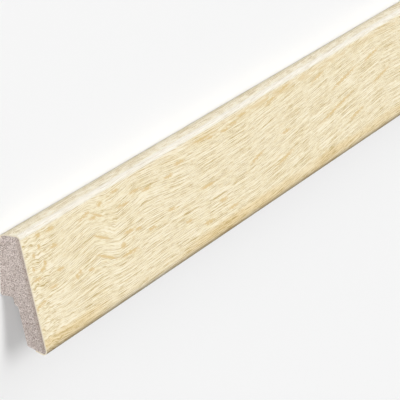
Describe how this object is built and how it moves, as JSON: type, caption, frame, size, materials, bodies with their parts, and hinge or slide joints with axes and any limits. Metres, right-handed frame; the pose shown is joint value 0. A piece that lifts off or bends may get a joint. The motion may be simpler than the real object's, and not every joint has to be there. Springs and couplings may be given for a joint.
{
  "type": "skirting board",
  "caption": "Low foil-wrapped skirting board with a leaning front, an undercut foot and a clip and cable rebate milled along its back.",
  "frame": {"origin": "middle of the length and of the height, on the wall plane that the back of the board lies in", "axes": "+X along the board, +Y towards its top edge, +Z away from the wall. The board is stored lying on its back, so the wall plane is the floor it lies on."},
  "size_m": [2.4, 0.038, 0.016],
  "materials": {
    "fibreboard": "matte",
    "decor": "satin"
  },
  "bodies": {
    "root": {"mdf_core": "fibreboard", "decor_foil": "decor"}
  },
  "joints": []
}
